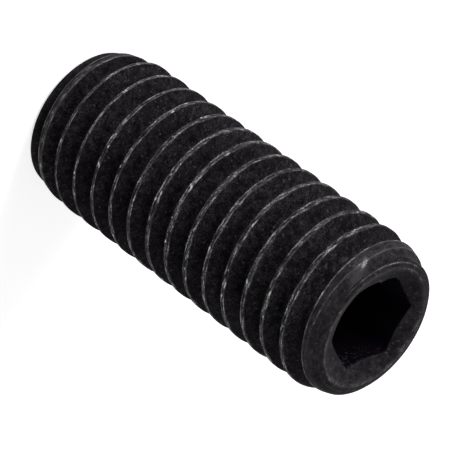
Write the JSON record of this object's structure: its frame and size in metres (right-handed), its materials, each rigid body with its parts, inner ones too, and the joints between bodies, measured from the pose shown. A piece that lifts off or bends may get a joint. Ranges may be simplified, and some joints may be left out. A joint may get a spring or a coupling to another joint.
{
  "type": "socket set screw",
  "caption": "Headless set screw, threaded from end to end, with a hexagon socket in one end and a plain flat point at the other.",
  "frame": {"origin": "centre of the flat point, on the screw's axis, where the screw stands", "axes": "+Z along the axis from the point to the socket end; X and Y square to it"},
  "size_m": [0.005, 0.005, 0.0122],
  "materials": {
    "black_oxide_steel": "oiled black oxide over rolled steel, rubbed to grey along the thread crests and the socket rim"
  },
  "bodies": {
    "root": {"set_screw": "black_oxide_steel"}
  },
  "joints": []
}
